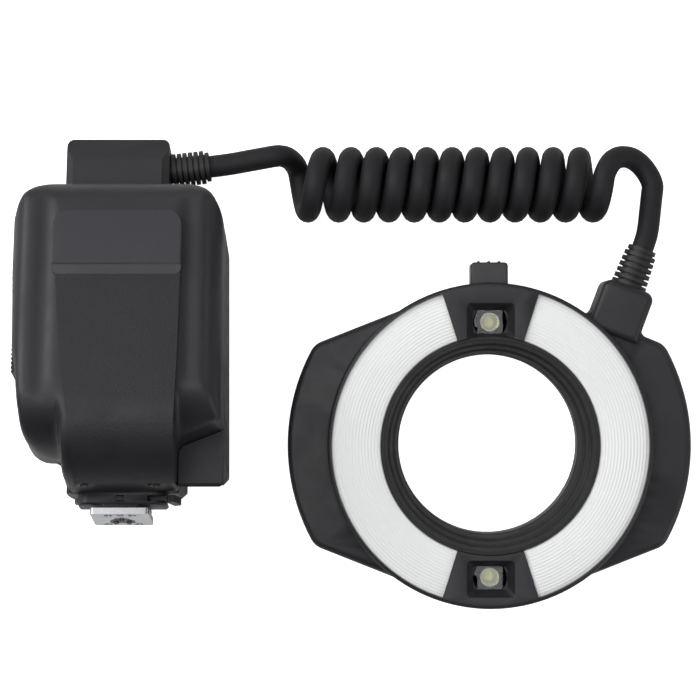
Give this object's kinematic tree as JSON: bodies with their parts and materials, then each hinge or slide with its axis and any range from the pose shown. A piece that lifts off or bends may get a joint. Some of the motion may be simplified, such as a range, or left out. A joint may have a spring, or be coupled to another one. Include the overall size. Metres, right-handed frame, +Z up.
{
  "type": "macro ring flash",
  "caption": "Ring-shaped flash head for a macro lens, joined by a curly cord to a control unit with a shoe foot; opal windows, focus lamps, display, keys and battery bay.",
  "frame": {"origin": "the flash head's optical axis on the plane of its back, which is also the table that the whole part lies on", "axes": "+X from the control unit to the head, +Y towards the control unit's plug box, +Z up from the table, out of the head's front"},
  "size_m": [0.2171, 0.1518, 0.0661],
  "materials": {
    "casing_black": "fine grained moulded plastic",
    "panel_black": "grained moulded plastic",
    "plate_grey": "smooth satin plastic",
    "soft_black": "moulded rubber",
    "cord_jacket": "satin cord jacket",
    "opal": "translucent opal plastic",
    "bright_foil": "bright reflector",
    "clear_glass": "clear",
    "clear_plastic": "clear moulded plastic",
    "screen": "display",
    "board": "printed board",
    "steel": "stamped steel",
    "screw_black": "black oxide screw",
    "gold": "gold plated contact",
    "cell": "battery cell in a plain sleeve",
    "capacitor": "sleeved capacitor",
    "coil": "wound copper wire",
    "lamp": "lamp die",
    "shaft_black": "dark ribbed plastic"
  },
  "bodies": {
    "flash": {"ring_rear_housing": "casing_black", "ring_front_bezel": "casing_black", "mount_ring": "steel", "opening_sleeve": "shaft_black", "diffuser_left": "opal", "diffuser_right": "opal", "reflector_left": "bright_foil", "reflector_right": "bright_foil", "flash_tube_left": "clear_glass", "flash_tube_right": "clear_glass", "tube_holders": "soft_black", "lamp_windows": "clear_plastic", "lamp_reflectors": "bright_foil", "lamp_leds": "lamp", "trigger_board": "board", "trigger_coils": "coil", "ring_screws": "screw_black", "ring_cable_boot": "soft_black", "front_cover": "casing_black", "rear_cover": "casing_black", "front_panel": "panel_black", "name_plate": "plate_grey", "battery_box": "casing_black", "batteries": "cell", "battery_contacts": "gold", "main_board": "board", "main_capacitor": "capacitor", "transformer": "coil", "display_window": "clear_plastic", "display_module": "screen", "power_socket": "shaft_black", "cable_plug_housing": "casing_black", "controller_cable_boot": "soft_black", "foot_plate": "steel", "foot_base": "casing_black", "contact_insulator": "shaft_black", "foot_screws": "screw_black", "housing_screws": "screw_black", "cord_lead_controller": "cord_jacket", "cord_lead_ring": "cord_jacket", "cord_curls": "cord_jacket"},
    "release_button": {"release_button": "casing_black", "latch_plate": "steel", "latch_spring": "steel"},
    "select_dial": {"select_dial": "casing_black"},
    "set_button": {"set_button": "casing_black"},
    "power_switch": {"power_switch": "casing_black"},
    "test_button": {"test_button": "casing_black"},
    "battery_door_pin": {"battery_door_pin": "steel"},
    "battery_door": {"battery_door": "casing_black"},
    "lock_lever": {"lock_lever": "casing_black"},
    "locking_pin": {"locking_pin": "steel"},
    "lock_release_button": {"lock_release_button": "casing_black"},
    "contact_pins": {"contact_pins": "gold"},
    "socket_cover": {"socket_cover": "soft_black"},
    "function_button_1": {"function_button_1": "casing_black"},
    "function_button_2": {"function_button_2": "casing_black"},
    "function_button_3": {"function_button_3": "casing_black"},
    "function_button_4": {"function_button_4": "casing_black"}
  },
  "joints": [
    {"name": "lens_release_slide", "type": "slide", "parent": "flash", "child": "release_button", "axis": [0, -1, 0], "range_m": [0, 0.002], "stiffness_N_per_m": 900, "springref_m": -0.001},
    {"name": "function_button_1_press", "type": "slide", "parent": "flash", "child": "function_button_1", "axis": [0, 0, 1], "range_m": [0, 0.0005], "stiffness_N_per_m": 1600, "springref_m": -0.0004},
    {"name": "function_button_2_press", "type": "slide", "parent": "flash", "child": "function_button_2", "axis": [0, 0, 1], "range_m": [0, 0.0005], "stiffness_N_per_m": 1600, "springref_m": -0.0004},
    {"name": "function_button_3_press", "type": "slide", "parent": "flash", "child": "function_button_3", "axis": [0, 0, 1], "range_m": [0, 0.0005], "stiffness_N_per_m": 1600, "springref_m": -0.0004},
    {"name": "function_button_4_press", "type": "slide", "parent": "flash", "child": "function_button_4", "axis": [0, 0, 1], "range_m": [0, 0.0005], "stiffness_N_per_m": 1600, "springref_m": -0.0004},
    {"name": "select_dial_turn", "type": "hinge", "parent": "flash", "child": "select_dial", "pos_m": [-0.1172, 0.0077, 0.0015], "axis": [0, 0, 1], "continuous": true},
    {"name": "set_button_press", "type": "slide", "parent": "flash", "child": "set_button", "axis": [0, 0, 1], "range_m": [0, 0.0004], "stiffness_N_per_m": 1600, "springref_m": -0.0004},
    {"name": "power_switch_slide", "type": "slide", "parent": "flash", "child": "power_switch", "axis": [1, 0, 0], "range_m": [0, 0.004]},
    {"name": "test_button_press", "type": "slide", "parent": "flash", "child": "test_button", "axis": [0, 0, 1], "range_m": [0, 0.0005], "stiffness_N_per_m": 1600, "springref_m": -0.0004},
    {"name": "battery_door_slide", "type": "slide", "parent": "flash", "child": "battery_door_pin", "axis": [0, -0.9636, 0.2672], "range_m": [0, 0.004]},
    {"name": "battery_door_hinge", "type": "hinge", "parent": "battery_door_pin", "child": "battery_door", "pos_m": [-0.1492, 0.06778, 0.01246], "axis": [0, -0.2672, -0.9636], "range_deg": [0, 100]},
    {"name": "lock_lever_turn", "type": "hinge", "parent": "flash", "child": "lock_lever", "pos_m": [-0.1175, -0.01779, 0.03619], "axis": [0, 0.9636, -0.2672], "range_deg": [0, 50]},
    {"name": "locking_pin_slide", "type": "slide", "parent": "flash", "child": "locking_pin", "axis": [0, -0.9636, 0.2672], "range_m": [0, 0.0015]},
    {"name": "lock_release_press", "type": "slide", "parent": "flash", "child": "lock_release_button", "axis": [1, 0, 0], "range_m": [0, 0.0008], "stiffness_N_per_m": 1200, "springref_m": -0.0004},
    {"name": "contact_pins_press", "type": "slide", "parent": "flash", "child": "contact_pins", "axis": [0, 0.9636, -0.2672], "range_m": [0, 0.0007], "stiffness_N_per_m": 900, "springref_m": -0.0004},
    {"name": "socket_cover_hinge", "type": "hinge", "parent": "flash", "child": "socket_cover", "pos_m": [-0.0864, -0.00277, 0.01439], "axis": [0, 0.9636, -0.2672], "range_deg": [0, 70]}
  ],
  "couplings": [
    {"joint": "lock_lever_turn", "follows": "locking_pin_slide", "rad_per_m": 581.78}
  ]
}
